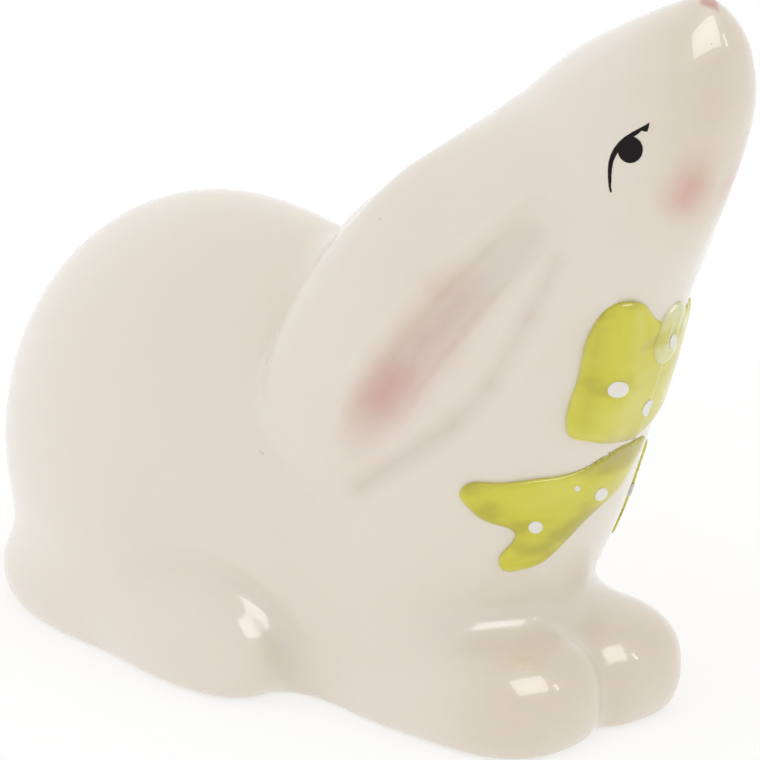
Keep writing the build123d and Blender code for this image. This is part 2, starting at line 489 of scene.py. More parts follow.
def wrap_mesh(form: Form, low: Point, high: Point, pitch: float, paired: bool) -> tuple[Array, Array]:
    """Wrap a form in an even skin of four-sided faces.

    Args:
        form: The form to wrap.
        low: Lowest corner of the space to look in, in mm.
        high: Highest corner of that space.
        pitch: Size of a face, in mm.
        paired: Whether the form is the same on both sides of the middle plane.

    Returns:
        The points in mm and the corner numbers of each face.
    """
    if paired:
        half = math.ceil(-low[1] / pitch)
        across = np.arange(-half, 1) * pitch
    else:
        across = np.arange(low[1], high[1], pitch)
    ahead = np.arange(low[0], high[0], pitch)
    up = np.arange(low[2], high[2], pitch)
    values = np.empty((len(ahead), len(across), len(up)))
    net = np.stack(np.meshgrid(across, up, indexing="ij"), axis=-1).reshape(-1, 2)
    for number, place in enumerate(ahead):
        points = np.column_stack([np.full(len(net), place), net])
        values[number] = form.distance(points).reshape(len(across), len(up))
    if paired:
        values = np.concatenate([values, values[:, -2::-1]], axis=1)
        across = np.arange(-half, half + 1) * pitch
    start = np.array([ahead[0], across[0], up[0]])
    inside = values < 0
    corners = np.zeros(tuple(size - 1 for size in values.shape), dtype=int)
    offsets = [(a, b, c) for a in (0, 1) for b in (0, 1) for c in (0, 1)]
    for a, b, c in offsets:
        deep, wide, tall = corners.shape
        corners += inside[a : a + deep, b : b + wide, c : c + tall]
    cells = np.argwhere((corners > 0) & (corners < 8))
    numbers = np.full(corners.shape, -1)
    numbers[tuple(cells.T)] = np.arange(len(cells))
    total = np.zeros((len(cells), 3))
    crossings = np.zeros(len(cells))
    for axis in range(3):
        for offset in offsets:
            if offset[axis]:
                continue
            first = cells + np.array(offset)
            second = first.copy()
            second[:, axis] += 1
            from_value = values[tuple(first.T)]
            to_value = values[tuple(second.T)]
            crosses = (from_value < 0) != (to_value < 0)
            change = np.where(crosses, from_value - to_value, 1.0)
            place = first.astype(float)
            place[:, axis] += from_value / change
            total += np.where(crosses[:, None], place, 0)
            crossings += crosses
    points = start + total / crossings[:, None] * pitch
    faces = []
    for axis in range(3):
        left, right = (axis + 1) % 3, (axis + 2) % 3
        first = np.moveaxis(inside, axis, 0)
        turns = np.moveaxis(first[1:] != first[:-1], 0, axis)
        places = np.argwhere(turns)
        places = places[(places[:, left] > 0) & (places[:, right] > 0)]
        ring = []
        for down_left, down_right in ((1, 1), (0, 1), (0, 0), (1, 0)):
            cell = places.copy()
            cell[:, left] -= down_left
            cell[:, right] -= down_right
            ring.append(numbers[tuple(cell.T)])
        quads = np.stack(ring, axis=1)
        leaving = inside[tuple(places.T)]
        quads[~leaving] = quads[~leaving][:, ::-1]
        faces.append(quads)
    return points, np.concatenate(faces)


def mesh_object(name: str, points: Array, faces: Array) -> bpy.types.Object:
    """Make a smooth-shaded object.

    Args:
        name: Name of the object.
        points: Points in mm.
        faces: Corner numbers of each face.

    Returns:
        The object, linked to the scene.
    """
    mesh = bpy.data.meshes.new(name)
    mesh.from_pydata((np.asarray(points) * MM).tolist(), [], np.asarray(faces).tolist())
    mesh.validate()
    mesh.shade_smooth()
    made = bpy.data.objects.new(name, mesh)
    bpy.context.scene.collection.objects.link(made)
    LOG.info("%s: %d points, %d faces", name, len(points), len(faces))
    return made


class Side(Enum):
    """The two sides of the figure, as the sign of Y."""

    RIGHT = -1
    LEFT = 1


def mirrored(points: Array, faces: Array, side: Side) -> tuple[Array, Array]:
    """Carry a piece drawn on the right side over to the side asked for.

    Args:
        points: Points in mm.
        faces: Corner numbers of each face.
        side: The side that the piece goes on.

    Returns:
        The points and faces there.
    """
    if side is Side.RIGHT:
        return points, faces
    return points * np.array([1, -1, 1]), np.asarray(faces)[:, ::-1]


def bearing(azimuth: float, elevation: float) -> Point:
    """Give the way that an azimuth and an elevation in degrees point, with 0 and 0 along -Y."""
    turn, rise = math.radians(azimuth), math.radians(elevation)
    return math.sin(turn) * math.cos(rise), -math.cos(turn) * math.cos(rise), math.sin(rise)


@dataclass(frozen=True)
class Sight:
    """The photograph's line of sight.

    Attributes:
        azimuth: Which way it looks from, in degrees.
        elevation: How far above the level, in degrees.
        middle: The point in mm that the middle of the picture shows.
        pixels_per_mm: How large the picture is at that point.
    """

    azimuth: float = 41.0
    elevation: float = 19.4
    middle: Point = (5.6, -6.95, 45.6)
    pixels_per_mm: float = 7.3

    def facing(self) -> Array:
        """Give the way from the object to the eye."""
        return np.array(bearing(self.azimuth, self.elevation))

    def across(self) -> Array:
        """Give the way to the right of the picture."""
        turn = math.radians(self.azimuth)
        return np.array([math.cos(turn), math.sin(turn), 0.0])

    def up(self) -> Array:
        """Give the way to the top of the picture."""
        return np.cross(self.facing(), self.across())

    def drop(self, form: Form, origin: Point, right: float, up: float) -> Point:
        """Find the point of a form that is seen beside another point.

        Args:
            form: The form.
            origin: The other point, in mm.
            right: How far to its right the point is seen, in mm.
            up: How far above it, in mm.

        Returns:
            The point in mm.
        """
        start = 120.0  # how far before the object the search starts, in mm
        longest, back = 4.0, 0.5  # the longest step on and back, in mm
        care, steps = 0.8, 160  # share of the distance that a step goes, and the steps
        facing = self.facing()
        point = (np.array(origin) + right * self.across() + up * self.up() + start * facing)[None]
        for _ in range(steps):
            point = point - facing * np.clip(form.distance(point), -back, longest)[:, None] * care
        return tuple(float(value) for value in point[0])

    def land(self, form: Form, pixel: Pair) -> Point:
        """Find the point of a form that a pixel of the picture shows.

        Args:
            form: The form.
            pixel: Pixels from the left and from the top.

        Returns:
            The point in mm.
        """
        right = (pixel[0] - PICTURE / 2) / self.pixels_per_mm
        up = (PICTURE / 2 - pixel[1]) / self.pixels_per_mm
        return self.drop(form, self.middle, right, up)


SIGHT = Sight()


# Tools for finishes


def linear(colour: str) -> Four:
    """Turn an sRGB hex colour into the linear colour that a shader takes.

    Args:
        colour: Six hex digits.

    Returns:
        Red, green, blue and an alpha of one.
    """
    shares = [int(colour[place : place + 2], 16) / 255 for place in (0, 2, 4)]
    lights = [share / 12.92 if share <= 0.04045 else ((share + 0.055) / 1.055) ** 2.4 for share in shares]
    return lights[0], lights[1], lights[2], 1.0


def node(tree: Tree, kind: str, inputs: dict | None = None, **settings: object) -> Node:
    """Add a node with its settings and links.

    Args:
        tree: The node tree.
        kind: The node's type.
        inputs: Values, or the sockets to link from, by the input's name or number.
        settings: Properties of the node itself.

    Returns:
        The node.
    """
    made = tree.nodes.new(kind)
    for key, value in settings.items():
        setattr(made, key, value)
    for key, value in (inputs or {}).items():
        if isinstance(value, Socket):
            tree.links.new(value, made.inputs[key])
        else:
            made.inputs[key].default_value = value
    return made


def sided_place(tree: Tree) -> Socket:
    """Give the place on the object, with the left side folded onto the right.

    Args:
        tree: The node tree.

    Returns:
        The place in mm.
    """
    where = node(tree, "ShaderNodeTexCoord").outputs["Object"]
    scaled = node(tree, "ShaderNodeVectorMath", {0: where, 1: (1 / MM,) * 3}, operation="MULTIPLY")
    parts = node(tree, "ShaderNodeSeparateXYZ", {0: scaled.outputs[0]}).outputs
    aside = node(tree, "ShaderNodeMath", {0: parts["Y"]}, operation="ABSOLUTE").outputs[0]
    turned = node(tree, "ShaderNodeMath", {0: aside, 1: -1.0}, operation="MULTIPLY").outputs[0]
    folded = {"X": parts["X"], "Y": turned, "Z": parts["Z"]}
    return node(tree, "ShaderNodeCombineXYZ", folded).outputs[0]


@dataclass(frozen=True)
class PaintAndLightPatch:
    """A soft patch of colour along a short line, used for brushed paint and also for painted shade and
    painted highlights.

    Attributes:
        start: Pixel of the photograph where the line starts.
        end: Pixel where it ends.
        core: Radius of the full colour, in mm.
        reach: Radius at which it has faded out.
        strength: How much of the colour shows at the core.
        colour: The colour itself.
        depth_share: How much a distance away from the eye counts.
        drift: Scale, detail and roughness of the clouds by which the brush wanders.
        drift_levels: The values in those clouds at which it wanders furthest.
        drift_share: How far the brush wanders, as a share of the reach.
    """

    start: Pair
    end: Pair
    core: float
    reach: float
    strength: float
    colour: str
    depth_share: float = 0.15
    drift: Point = (0.22, 3.0, 0.6)
    drift_levels: Pair = (0.3, 0.7)
    drift_share: float = 0.08

    def over(self, form: Form, tree: Tree, place: Socket, under: Socket) -> Socket:
        """Lay the patch over a colour.

        Args:
            form: The form it is painted on.
            tree: The node tree.
            place: The place on the object in mm.
            under: The colour below.

        Returns:
            The colour with the patch on it.
        """
        start = SIGHT.land(form, self.start)
        axes = np.array((SIGHT.across(), SIGHT.up(), SIGHT.facing() * self.depth_share))
        way = Vector(axes @ (np.array(SIGHT.land(form, self.end)) - np.array(start)))
        apart = node(tree, "ShaderNodeVectorMath", {0: place, 1: start}, operation="SUBTRACT")
        turned = node(tree, "ShaderNodeCombineXYZ")
        for number, direction in enumerate(axes):
            inputs = {0: apart.outputs[0], 1: tuple(direction)}
            share = node(tree, "ShaderNodeVectorMath", inputs, operation="DOT_PRODUCT")
            tree.links.new(share.outputs["Value"], turned.inputs[number])
        inputs = {0: turned.outputs[0], 1: tuple(way / way.length_squared)}
        along = node(tree, "ShaderNodeVectorMath", inputs, operation="DOT_PRODUCT")
        kept = node(tree, "ShaderNodeClamp", {0: along.outputs["Value"]}).outputs[0]
        nearest = node(tree, "ShaderNodeVectorMath", {0: tuple(way), "Scale": kept}, operation="SCALE")
        inputs = {0: turned.outputs[0], 1: nearest.outputs[0]}
        gap = node(tree, "ShaderNodeVectorMath", inputs, operation="SUBTRACT").outputs[0]
        length = node(tree, "ShaderNodeVectorMath", {0: gap}, operation="LENGTH").outputs["Value"]
        wander = self.drift_share * self.reach
        clouds = node(tree, "ShaderNodeTexNoise", dict(zip(NOISE, (place, *self.drift))))
        low, high = self.drift_levels
        inputs = {0: clouds.outputs["Fac"], 1: low, 2: high, 3: -wander, 4: wander}
        wobble = node(tree, "ShaderNodeMapRange", inputs).outputs[0]
        uneven = node(tree, "ShaderNodeMath", {0: length, 1: wobble}, operation="ADD").outputs[0]
        inputs = {0: uneven, 1: self.reach, 2: self.core, 3: 0.0, 4: self.strength}
        fade = node(tree, "ShaderNodeMapRange", inputs, interpolation_type="SMOOTHSTEP").outputs[0]
        inputs = {"Factor": fade, 6: under, 7: linear(self.colour)}
        mix = node(tree, "ShaderNodeMix", inputs, data_type="RGBA", blend_type="MULTIPLY")
        return mix.outputs[2]


def shine(
    material: Material, colour: Socket, place: Socket, ripple: float, settings: dict[str, float]
) -> None:
    """Finish a glazed material with its shader, its ripple and its own settings.

    Args:
        material: The material.
        colour: Its colour.
        place: The place on the object in mm.
        ripple: Height of the glaze's ripple, in mm.
        settings: Values for the shader's own inputs.
    """
    tree = material.node_tree
    waves = node(tree, "ShaderNodeTexNoise", dict(zip(NOISE, (place, *RIPPLE)))).outputs["Fac"]
    bump = node(tree, "ShaderNodeBump", {"Height": waves, "Distance": ripple * MM, "Strength": 1.0})
    inputs = {"Base Color": colour, "Normal": bump.outputs[0], **settings}
    shader = node(tree, "ShaderNodeBsdfPrincipled", inputs)
    node(tree, "ShaderNodeOutputMaterial", {"Surface": shader.outputs[0]}, is_active_output=True)


def blank_material(name: str) -> Material:
    """Start an empty node material.

    Args:
        name: Its name.

    Returns:
        The material.
    """
    material = bpy.data.materials.new(name)
    material.use_nodes = True
    material.node_tree.nodes.clear()
    return material


@dataclass(frozen=True)
class CreamGlaze:
    """Clear glaze over cream earthenware, with pink and blush brushed on under it.

    The clay body is matt and slightly warm, so light sinks in a little, and the glaze
    over it is smooth glass that throws back lamps as clear small lights. The patches
    are, in turn, the pink of the ear, painted shade in its valley that is partly
    greyish pink paint, a painted highlight along its ridge, painted shade in the crease
    along its front edge, painted shade that darkens and warms the snout and the front
    of the paws, the blush and the nose.

    Attributes:
        clay: Colour of the clay.
        thin_glaze: Its colour where the glaze lies thinner, in clouds.
        cloud: Scale, detail and roughness of those clouds.
        fleck: Colour of the few specks of iron in the clay.
        fleck_size: Specks in a mm, and the radii of a speck's rim and heart as shares.
        fleck_strength: How dark a speck's heart is.
        fleck_chance: The share of specks left out.
        ripple: Height of the glaze's ripple, in mm.
        patches: The brushed paint, painted highlight and painted shade.
    """

    clay: str = "E9E0D3"
    thin_glaze: str = "E4DBCB"
    cloud: Point = (0.035, 4.0, 0.55)
    fleck: str = "8D8478"
    fleck_size: Point = (0.11, 0.02, 0.012)
    fleck_strength: float = 0.45
    fleck_chance: float = 0.45
    ripple: float = 0.05
    patches: tuple[PaintAndLightPatch, ...] = (
        PaintAndLightPatch((384, 397), (396, 379), -4.0, 6.4, 0.62, "EA979F"),
        PaintAndLightPatch((384, 402), (462, 298), -5.0, 7.4, 0.34, "E9B0B4"),
        # Painted shade down the ear's valley below the ridge, partly greyish pink paint
        PaintAndLightPatch((420, 348), (536, 236), -5.0, 6.2, 0.28, "CFB8B8"),
        # Pink paint spread over the lower ear
        PaintAndLightPatch((372, 430), (440, 345), -4.0, 9.5, 0.22, "F2C2C4"),
        # Painted highlight along the ear's ridge
        PaintAndLightPatch((520, 214), (432, 284), -2.0, 4.6, 0.34, "F4EFE8"),
        PaintAndLightPatch((432, 284), (352, 420), -2.0, 5.0, 0.34, "F4EFE8"),
        # Painted shade in the crease along the ear's front edge
        PaintAndLightPatch((560, 262), (530, 318), -2.0, 2.6, 0.24, "DAC2BC"),
        PaintAndLightPatch((530, 318), (490, 386), -2.0, 2.6, 0.28, "DAC2BC"),
        PaintAndLightPatch((490, 386), (455, 424), -2.0, 2.6, 0.28, "DAC0BA"),
        PaintAndLightPatch((455, 424), (362, 486), -2.0, 2.6, 0.32, "D8BCB6"),
        # Painted shade, darker and warmer, down the snout and over the front of the paws
        PaintAndLightPatch((712, 60), (700, 190), -8.0, 15.0, 0.50, "E3D2B4"),
        PaintAndLightPatch((520, 700), (630, 655), -8.0, 16.0, 0.42, "E6D3B4"),
        # Blush on the cheek, and the nose
        PaintAndLightPatch((682, 199), (689, 188), -2.0, 5.0, 0.66, "F0A5A2"),
        PaintAndLightPatch((688, 192), (700, 164), -2.0, 4.4, 0.16, "F3C2BC"),
        PaintAndLightPatch((703, 5), (725, 14), 0.2, 1.0, 0.80, "DFA6A6"),
    )

    def material(self, figure: Form) -> Material:
        """Make the material.

        Args:
            figure: The figure that the patches are painted on.

        Returns:
            The material.
        """
        material = blank_material("cream_glaze_over_clay")
        tree = material.node_tree
        place = sided_place(tree)
        cloud = node(tree, "ShaderNodeTexNoise", dict(zip(NOISE, (place, *self.cloud))))
        inputs = {"Factor": cloud.outputs["Fac"], 6: linear(self.clay), 7: linear(self.thin_glaze)}
        colour = node(tree, "ShaderNodeMix", inputs, data_type="RGBA").outputs[2]
        for patch in self.patches:
            colour = patch.over(figure, tree, place, colour)
        scale, rim, heart = self.fleck_size
        inputs = {"Vector": place, "Scale": scale, "Randomness": 1.0}
        speck = node(tree, "ShaderNodeTexVoronoi", inputs).outputs
        inputs = {0: speck["Distance"], 1: rim, 2: heart, 3: 0.0, 4: self.fleck_strength}
        fleck = node(tree, "ShaderNodeMapRange", inputs).outputs[0]
        chosen = node(tree, "ShaderNodeSeparateColor", {0: speck["Color"]}).outputs[0]
        inputs = {0: chosen, 1: self.fleck_chance}
        rare = node(tree, "ShaderNodeMath", inputs, operation="GREATER_THAN").outputs[0]
        shown = node(tree, "ShaderNodeMath", {0: fleck, 1: rare}, operation="MULTIPLY").outputs[0]
        inputs = {"Factor": shown, 6: colour, 7: linear(self.fleck)}
        flecked = node(tree, "ShaderNodeMix", inputs, data_type="RGBA").outputs[2]
        shine(
            material,
            flecked,
            place,
            self.ripple,
            {
                "Roughness": 0.38,
                "IOR": 1.5,
                "Coat Weight": 1.0,
                "Coat Roughness": 0.035,
                "Coat IOR": 1.5,
                "Subsurface Weight": 0.12,
                "Subsurface Scale": 0.002,
            },
        )
        return material


@dataclass(frozen=True)
class LimeGlaze:
    """Lime green underglaze brushed on by hand under the same clear glaze.

    Its colour turns deeper and paler in clouds, deeper still down the loop's left side
    and along the ends' upper edge, and it thins out to the cream clay along the lower
    edge of the ribbon's ends. A painted shadow lies under the loop's lower edge, and a
    painted highlight, partly paler glaze, runs down beside the knot.

    Attributes:
        middle: The colour at its usual thickness.
        deep: The colour where it lies thick.
        pale: The colour where it lies thinly.
        stretch: How the brush's clouds are squeezed along X, Y and Z.
        brush: Scale, detail and roughness of those clouds.
        levels: Where in the clouds the deep, usual and thin colours lie.
        ripple: Height of the glaze's ripple, in mm.
        patches: Paler and deeper strokes, with a painted shadow and a painted highlight among them.
    """

    middle: str = "D1CA18"
    deep: str = "BCB204"
    pale: str = "D7D038"
    stretch: Point = (0.5, 0.5, 0.9)
    brush: Point = (0.16, 2.5, 0.5)
    levels: Point = (0.36, 0.46, 0.62)
    ripple: float = 0.06
    patches: tuple[PaintAndLightPatch, ...] = (
        # Painted highlight down beside the knot, partly paler glaze where the loops meet
        PaintAndLightPatch((684, 306), (672, 368), 1.2, 3.0, 0.82, "E7E4C0"),
        PaintAndLightPatch((672, 368), (658, 434), 0.4, 1.9, 0.75, "E7E4C0"),
        # Deeper down the loop's left side
        PaintAndLightPatch((600, 330), (585, 425), -1.0, 2.4, 0.30, "BFB320"),
        # Paler where the paint thins out along the end's lower edge
        PaintAndLightPatch((545, 572), (635, 480), 0.4, 4.2, 0.50, "E9E2AE"),
        # Painted shadow under the loop's lower edge, on the end's upper edge
        PaintAndLightPatch((645, 440), (590, 468), -0.6, 2.2, 0.50, "B3A522"),
        # Deeper along the end's upper edge
        PaintAndLightPatch((580, 470), (470, 486), -0.6, 1.6, 0.35, "C4B92A"),
    )

    def material(self, name: str, form: Form) -> Material:
        """Make the material.

        Args:
            name: Name of the material.
            form: The form that it is brushed on.

        Returns:
            The material.
        """
        material = blank_material(name)
        tree = material.node_tree
        place = sided_place(tree)
        inputs = {0: place, 1: self.stretch}
        stretch = node(tree, "ShaderNodeVectorMath", inputs, operation="MULTIPLY").outputs[0]
        brush = node(tree, "ShaderNodeTexNoise", dict(zip(NOISE, (stretch, *self.brush))))
        ramp = node(tree, "ShaderNodeValToRGB", {0: brush.outputs["Fac"]})
        low, usual, high = self.levels
        stops = ramp.color_ramp.elements
        stops[0].position, stops[0].color = low, linear(self.deep)
        stops[1].position, stops[1].color = high, linear(self.pale)
        stops.new(usual).color = linear(self.middle)
        colour = ramp.outputs[0]
        for patch in self.patches:
            colour = patch.over(form, tree, place, colour)
        shine(
            material,
            colour,
            place,
            self.ripple,
            {
                "Roughness": 0.34,
                "IOR": 1.5,
                "Coat Weight": 1.0,
                "Coat Roughness": 0.04,
                "Coat IOR": 1.5,
                "Subsurface Weight": 0.06,
                "Subsurface Scale": 0.0015,
            },
        )
        return material


@dataclass(frozen=True)
class Enamel:
    """A drop of brushed enamel colour, smooth and a little raised at the middle.

    It is shiny as glass, with the slight unevenness of a hand-held brush.

    Attributes:
        colour: Its colour.
        second: The colour of its clouds.
        gloss: How strongly the colour itself shines.
        coat: How strongly the glass over it shines.
        cloud: Scale, detail and roughness of its clouds.
        ripple: Height of its unevenness, in mm.
    """

    colour: str
    second: str
    gloss: float = 0.5
    coat: float = 0.6
    cloud: Point = (0.9, 3.0, 0.6)
    ripple: float = 0.02

    def material(self, name: str) -> Material:
        """Make the material.

        Args:
            name: Name of the material.

        Returns:
            The material.
        """
        material = blank_material(name)
        tree = material.node_tree
        place = sided_place(tree)
        cloud = node(tree, "ShaderNodeTexNoise", dict(zip(NOISE, (place, *self.cloud))))
        inputs = {"Factor": cloud.outputs["Fac"], 6: linear(self.colour), 7: linear(self.second)}
        tone = node(tree, "ShaderNodeMix", inputs, data_type="RGBA").outputs[2]
        settings = {
            "Roughness": 0.3,
            "IOR": 1.5,
            "Specular IOR Level": self.gloss,
            "Coat Weight": self.coat,
            "Coat Roughness": 0.05,
        }
        shine(material, tone, place, self.ripple, settings)
        return material


# The same kinds of finish in other colours
# The knot's paler lime: thinner paint, made paler still as painted glare
THIN_LIME_AND_GLARE = LimeGlaze("D9D78C", "CFCB62", "E2E0B6", patches=())
BARE_CLAY = Enamel("DDD3C4", "CFC4B2")
DOT_WHITE = Enamel("EDEBE2", "E2E0D6")
LINE_BLACK = Enamel("0D0B0A", "161110", 0.12, 0.08)


# Pieces of the figure


@dataclass
class Figure(Form):
    """The glazed rabbit itself: body, head, ears, paws, feet and tail in one skin.

    All sizes are in mm, with the right side drawn and the left side its mirror image.
    Halves are half sizes forwards, backwards, sideways and upwards. A slice of the
    forequarters has its height, its back, its front and its half width, as shares. An
    oval of the ear has its place along it, its low and high edge, and its middle and
    half size sideways. A mark has rows of a pixel, a height and a width, and is pressed
    in only where it is seen. A blend is how softly a form flows into the others.
    """

    length: float = 128.6
    tail_overhang: float = 1.1
    fore_depth: float = 72.0
    fore_half_width: float = 19.8
    fore_height: float = 111.0
    fore_slice_shares: tuple[Four, ...] = (
        (0.000, 0.020, 0.486, 0.800),
        (0.090, 0.005, 0.515, 0.900),
        (0.180, 0.000, 0.575, 0.955),
        (0.270, 0.000, 0.645, 0.990),
        (0.360, 0.000, 0.702, 1.000),
        (0.450, 0.000, 0.760, 0.970),
        (0.540, 0.010, 0.811, 0.920),
        (0.620, 0.095, 0.853, 0.865),
        (0.690, 0.240, 0.905, 0.810),
        (0.755, 0.385, 0.948, 0.750),
        (0.815, 0.485, 0.983, 0.690),
        (0.865, 0.562, 1.000, 0.625),
        (0.910, 0.650, 1.000, 0.520),
        (0.945, 0.738, 0.989, 0.390),
        (0.972, 0.813, 0.967, 0.250),
        (0.990, 0.868, 0.942, 0.125),
        (0.996, 0.888, 0.926, 0.070),
    )
    top_share: float = 0.9978
    ear_root: Point = (47.0, 0.0, 92.5)
    ear_tip: Point = (2.0, 0.0, 33.0)
    ear_fullness: float = 1.4
    ear_ovals: tuple[Five, ...] = (
        (0.0, 0.0, 0.0, -5.0, 0.0),
        (5.0, -5.0, 6.0, -6.6, 3.4),
        (11.0, -9.0, 10.5, -8.6, 5.0),
        (18.0, -13.6, 13.6, -10.4, 6.2),
        (27.0, -17.0, 15.4, -12.0, 7.0),
        (36.0, -18.2, 15.9, -13.0, 7.4),
        (45.0, -18.6, 15.3, -13.6, 7.6),
        (54.0, -18.5, 13.4, -13.7, 7.6),
        (61.0, -17.6, 11.2, -13.6, 7.5),
        (67.0, -15.9, 9.0, -13.8, 6.9),
        (71.5, -13.4, 6.2, -14.3, 5.6),
        (74.3, -9.8, 2.0, -15.0, 3.6),
        (75.6, -4.0, -4.0, -15.4, 0.0),
    )
    ear_marks: tuple[tuple[Four, ...], ...] = (
        (
            (545, 196, 0.0, 1.2), (526, 207, 0.9, 1.2), (508, 220, 1.4, 1.3), (484, 241, 1.6, 1.5),
            (458, 264, 1.6, 1.7), (428, 295, 1.6, 1.8), (402, 326, 1.5, 1.9), (377, 357, 1.4, 2.0),
            (357, 390, 1.3, 2.0), (345, 425, 1.0, 2.0), (341, 458, 0.5, 2.0), (345, 485, 0.0, 2.0),
        ),
        (
            (548, 222, 0.0, 1.8), (530, 240, -1.4, 2.3), (503, 263, -2.6, 2.8), (474, 290, -3.3, 3.2),
            (445, 322, -3.7, 3.6), (420, 352, -3.8, 3.8), (397, 382, -3.6, 3.8), (378, 412, -2.8, 3.5),
            (366, 440, -1.4, 3.0), (362, 465, 0.0, 3.0),
        ),
        (
            (566, 250, 0.0, 1.2), (548, 282, -1.2, 1.4), (530, 318, -1.7, 1.5), (505, 366, -1.9, 1.6),
            (480, 398, -1.9, 1.6), (455, 424, -1.9, 1.7), (415, 454, -1.8, 1.7), (380, 476, -1.5, 1.7),
            (358, 490, -0.8, 1.6), (345, 498, 0.0, 1.5),
        ),
    )
    foot_marks: tuple[tuple[Four, ...], ...] = (
        (
            (118, 592, 0.0, 2.0), (150, 572, -0.5, 2.0), (185, 563, -0.8, 2.0), (225, 575, -0.9, 2.0),
            (258, 603, -0.9, 2.0), (278, 640, -0.8, 2.0), (283, 672, -0.5, 2.0),
        ),
    )
    marks_from: float = 8.0
    marks_rise: float = 5.0
    marks_depth: float = 4.5
    marks_weights: Point = (1.0, 0.6, 1.0)
    haunch_from_end: float = 38.0
    haunch_height: float = 24.0
    haunch_halves: Four = (50.0, 38.7, 24.0, 39.3)
    haunch_fullness: float = 0.965
    seat_length: float = 66.4
    seat_height: float = 4.3
    seat_halves: Four = (33.0, 32.8, 19.0, 9.5)
    seat_fullness: float = 1.15
    tail_length: float = 11.0
    tail_height: float = 14.0
    tail_halves: Four = (5.5, 5.5, 6.0, 6.0)
    paw_middle: Point = (28.5, -8.3, 6.4)
    paw_halves: Four = (14.5, 21.0, 11.9, 9.3)
    paw_fullness: float = 1.25
    foot_middle: Point = (-19.0, -16.9, 7.4)
    foot_halves: Four = (18.5, 18.0, 8.5, 10.2)
    foot_turn_out: float = 12.0
    foot_fullness: float = 1.1
    flank_blend: float = 5.0
    seat_blend: float = 6.0
    foot_blend: float = 3.0
    paw_blend: float = 5.5
    paws_blend: float = 2.5
    ear_blend: float = 2.0
    root_blend: float = 5.0
    root_from: float = 4.0
    root_rise: float = 8.0
    root_fall: float = 12.0
    root_reach: float = 30.0
    tail_blend: float = 1.6
    ground_round: float = 1.2
    vent_x: float = -20.0
    vent_radius: float = 4.0
    vent_depth: float = 14.0
    bare_height: float = 0.25
    bare_margin: float = 0.5
    bare_above_vent: float = 1.0
    low_corner: Point = (-67.0, -28.0, -1.6)
    high_corner: Point = (67.0, 28.0, 113.0)
    pitch: float = 0.65
    quick_pitch: float = 1.1

    def __post_init__(self) -> None:
        """Set the forms out from the sizes."""
        back_x = self.length / 2 - self.fore_depth
        shares = np.array(self.fore_slice_shares)
        fore = np.zeros((len(shares), 5))
        fore[:, 0] = shares[:, 0] * self.fore_height
        fore[:, 1:3] = back_x + shares[:, 1:3] * self.fore_depth
        fore[:, 4] = shares[:, 3] * self.fore_half_width
        top = fore[-1].copy()
        top[0] = self.fore_height * self.top_share
        top[1] = top[2] = (top[1] + top[2]) / 2
        top[4] = 0.0
        self.fore = Stack((0, 0, 0), (0, 0, 1), (1, 0, 0), (0, 1, 0), np.vstack([fore, top]))
        lengthwise = (Vector(self.ear_tip) - Vector(self.ear_root)).normalized()
        self.lengthwise = np.array(lengthwise)
        self.ear = Stack(
            self.ear_root,
            tuple(lengthwise),
            (-lengthwise.z, 0, lengthwise.x),
            (0, 1, 0),
            np.array(self.ear_ovals),
            self.ear_fullness,
        )
        haunch_x = self.haunch_from_end + self.tail_overhang - self.length / 2
        haunch_middle = (haunch_x, 0, self.haunch_height)
        self.haunch = Egg(haunch_middle, *self.haunch_halves, fullness=self.haunch_fullness)
        seat_middle = ((self.seat_length - self.length) / 2, 0, self.seat_height)
        self.seat = Egg(seat_middle, *self.seat_halves, fullness=self.seat_fullness)
        tail_middle = ((self.tail_length - self.length) / 2, 0, self.tail_height)
        self.tail = Egg(tail_middle, *self.tail_halves)
        self.paw = Egg(self.paw_middle, *self.paw_halves, fullness=self.paw_fullness)
        ahead, aside, height = self.paw_middle
        self.other_paw = Egg((ahead, -aside, height), *self.paw_halves, fullness=self.paw_fullness)
        self.foot = Egg(self.foot_middle, *self.foot_halves, self.foot_turn_out, self.foot_fullness)
        self.strokes: tuple[Stroke, ...] = ()  # the marks are laid on the skin without them
        self.strokes = tuple(self.stroke(mark) for mark in (*self.ear_marks, *self.foot_marks))

    def stroke(self, mark: tuple[Four, ...]) -> Stroke:
        """Lay a mark of the photograph on the skin.

        Args:
            mark: For each point its pixel, its height and its width in mm.

        Returns:
            The stroke on the right side.
        """
        rows = [(*SIGHT.land(self, pixels[:2]), *pixels[2:]) for pixels in mark]
        return Stroke(tuple(rows), self.marks_weights)

